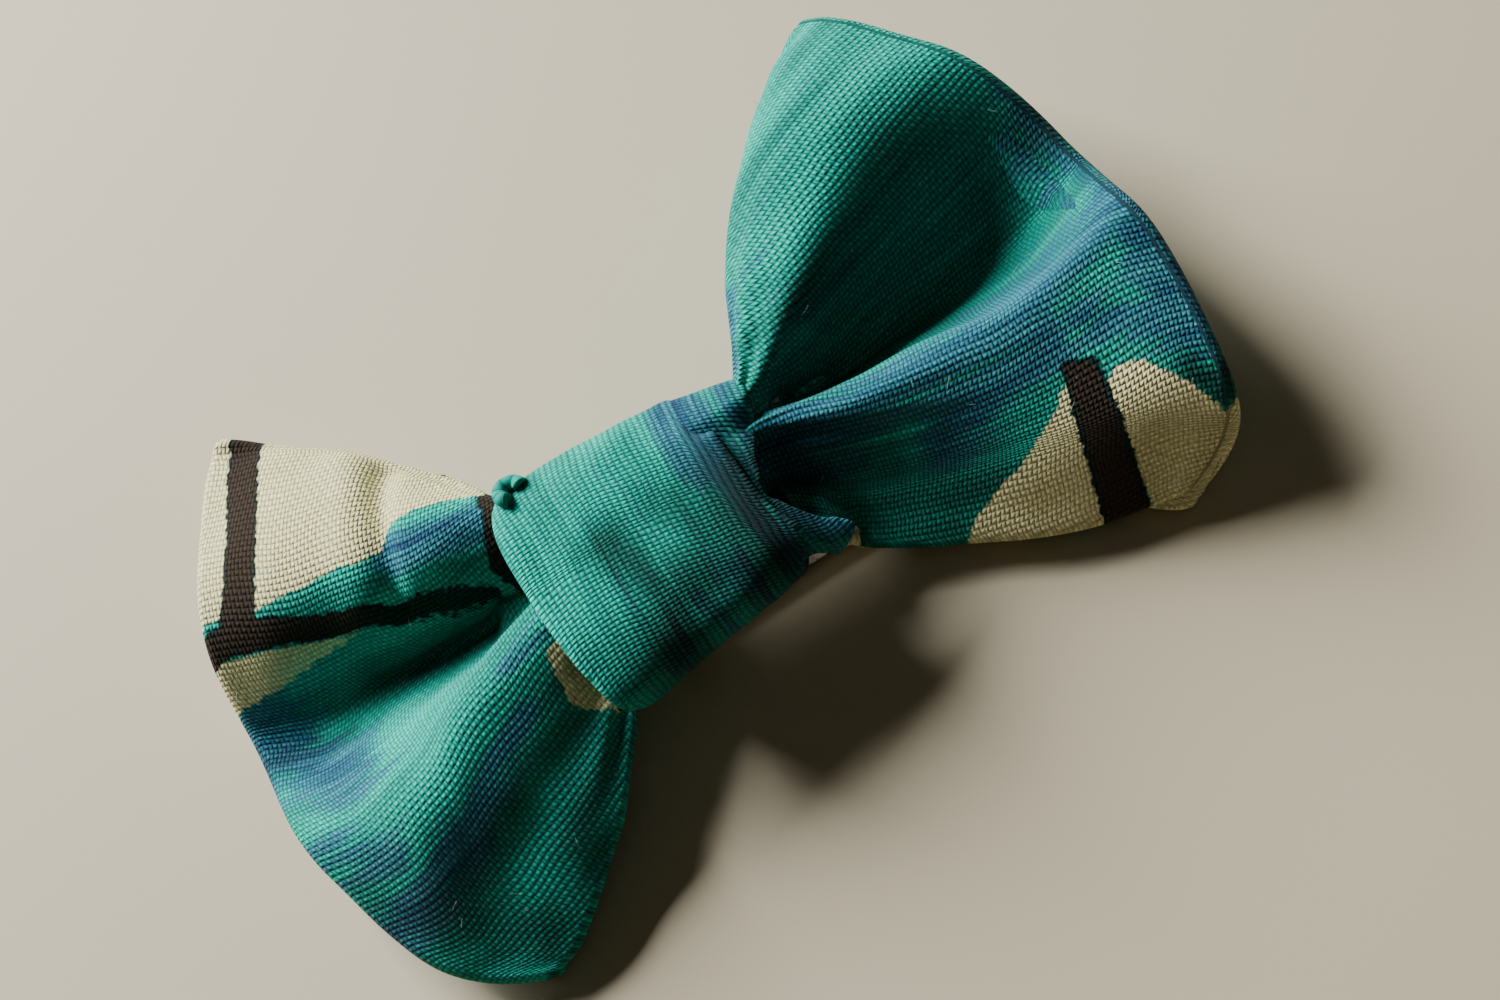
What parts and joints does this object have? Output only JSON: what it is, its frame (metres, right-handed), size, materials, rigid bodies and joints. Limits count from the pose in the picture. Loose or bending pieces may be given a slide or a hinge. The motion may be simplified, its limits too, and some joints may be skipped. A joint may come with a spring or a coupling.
{
  "type": "bow tie",
  "caption": "Pre-tied clip-on bow tie in printed cotton: a looped, pleated bow gathered by a knot band, with a sprung steel clip behind.",
  "frame": {"origin": "middle of the clip lever's flat outer face, straight behind the knot", "axes": "+X along the bow's width, +Y to its upper edge as worn, +Z out of its front"},
  "size_m": [0.1064, 0.07, 0.0185],
  "materials": {
    "printed_cotton": "matte",
    "knot_cotton": "matte",
    "interlining": "matte",
    "thread": "matte",
    "nickelled_steel": "satin",
    "spring_steel": "satin"
  },
  "bodies": {
    "bow": {"bow_cloth": "printed_cotton", "bow_interlining": "interlining", "bow_lap_stitch": "thread", "waist_binding": "thread", "knot_band": "knot_cotton", "knot_interlining": "interlining", "knot_closing_stitch": "thread", "clip_base": "nickelled_steel", "clip_pin": "spring_steel", "clip_spring": "spring_steel", "clip_tack_nose": "thread", "clip_tack_tail": "thread"},
    "lever": {"clip_lever": "nickelled_steel"}
  },
  "joints": [
    {"name": "clip_open", "type": "hinge", "parent": "bow", "child": "lever", "pos_m": [-0.005, 0, 0.0026], "axis": [0, 1, 0], "range_deg": [0, 18], "stiffness_Nm_per_rad": 0.1, "springref_deg": -34.38, "deforming": ["clip_spring"]}
  ]
}
